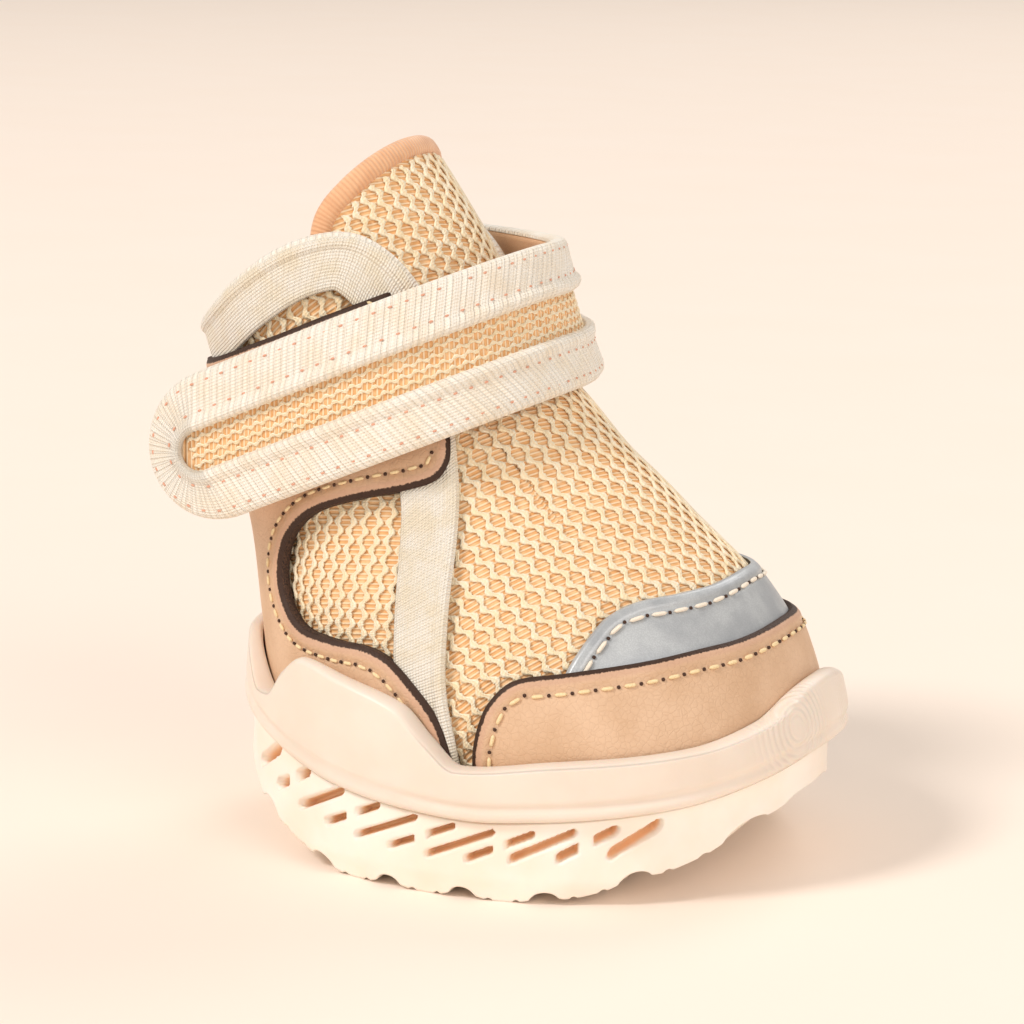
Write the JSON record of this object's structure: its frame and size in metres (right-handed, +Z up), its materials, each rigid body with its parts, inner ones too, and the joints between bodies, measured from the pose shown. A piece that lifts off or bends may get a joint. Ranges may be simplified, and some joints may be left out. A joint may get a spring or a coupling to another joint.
{
  "type": "dog boot",
  "caption": "Dog boot for one paw: mesh upper and tongue with leather heel counter and mudguard, reflective toe cap, rubber cup sole and a wrap-over strap.",
  "frame": {"origin": "on the floor, under the middle of the sole, on the flat tread between the heel and toe spring", "axes": "+X to the toe, +Y to the boot's left, +Z up"},
  "size_m": [0.076, 0.062, 0.0782],
  "materials": {
    "tread_rubber": "matte moulded rubber, warm white, with peach slots",
    "wall_rubber": "smooth satin moulded rubber, cream",
    "foam": "peach cloth over foam",
    "air_mesh": "open hexagonal air mesh, cream yellow over a peach backing",
    "knit": "fine ribbed peach knit",
    "woven_tape": "cream woven tape",
    "tan_leather": "tan pebbled leather with dark brown cut edges",
    "reflective_film": "silver-grey reflective film on cloth"
  },
  "bodies": {
    "root": {"outsole": "tread_rubber", "midsole_cup": "wall_rubber", "insole": "foam", "upper": "air_mesh", "tongue": "air_mesh", "tongue_binding": "knit", "collar_tape": "woven_tape", "heel_counter": "tan_leather", "toe_cap": "reflective_film", "mudguard": "tan_leather", "strap": "air_mesh", "strap_tape": "woven_tape"}
  },
  "joints": []
}
